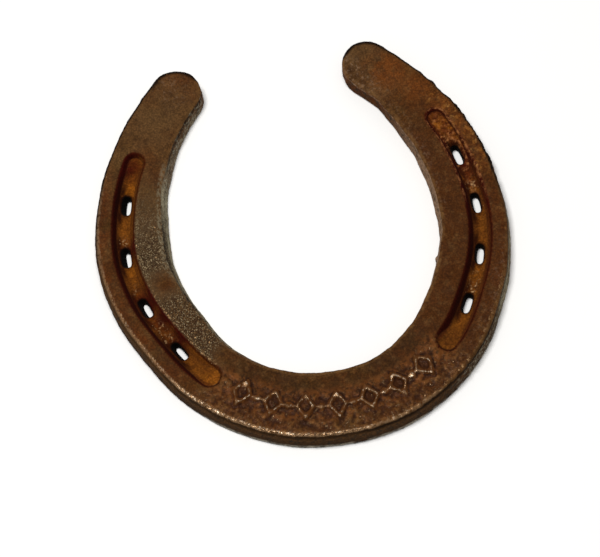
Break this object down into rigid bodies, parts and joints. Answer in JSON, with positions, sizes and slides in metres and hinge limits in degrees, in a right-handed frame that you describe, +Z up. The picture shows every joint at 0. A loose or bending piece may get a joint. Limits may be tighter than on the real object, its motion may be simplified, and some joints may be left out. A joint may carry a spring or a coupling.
{
  "type": "horseshoe",
  "caption": "Flat cast iron horseshoe, a round-heeled U with a fullered nail crease and tapered nail holes on each branch and a raised lozenge row at the toe.",
  "frame": {"origin": "on the foot side's plane, under the middle of the outline's box", "axes": "+Z up out of the ground side, +Y from the toe to the heels, +X to the right seen from the ground side with the heels up"},
  "size_m": [0.1284, 0.1306, 0.0085],
  "materials": {
    "rusted_iron": "dull brown rust over rough cast iron, orange in the creases, worn grey on the edges"
  },
  "bodies": {
    "root": {"horseshoe": "rusted_iron"}
  },
  "joints": []
}
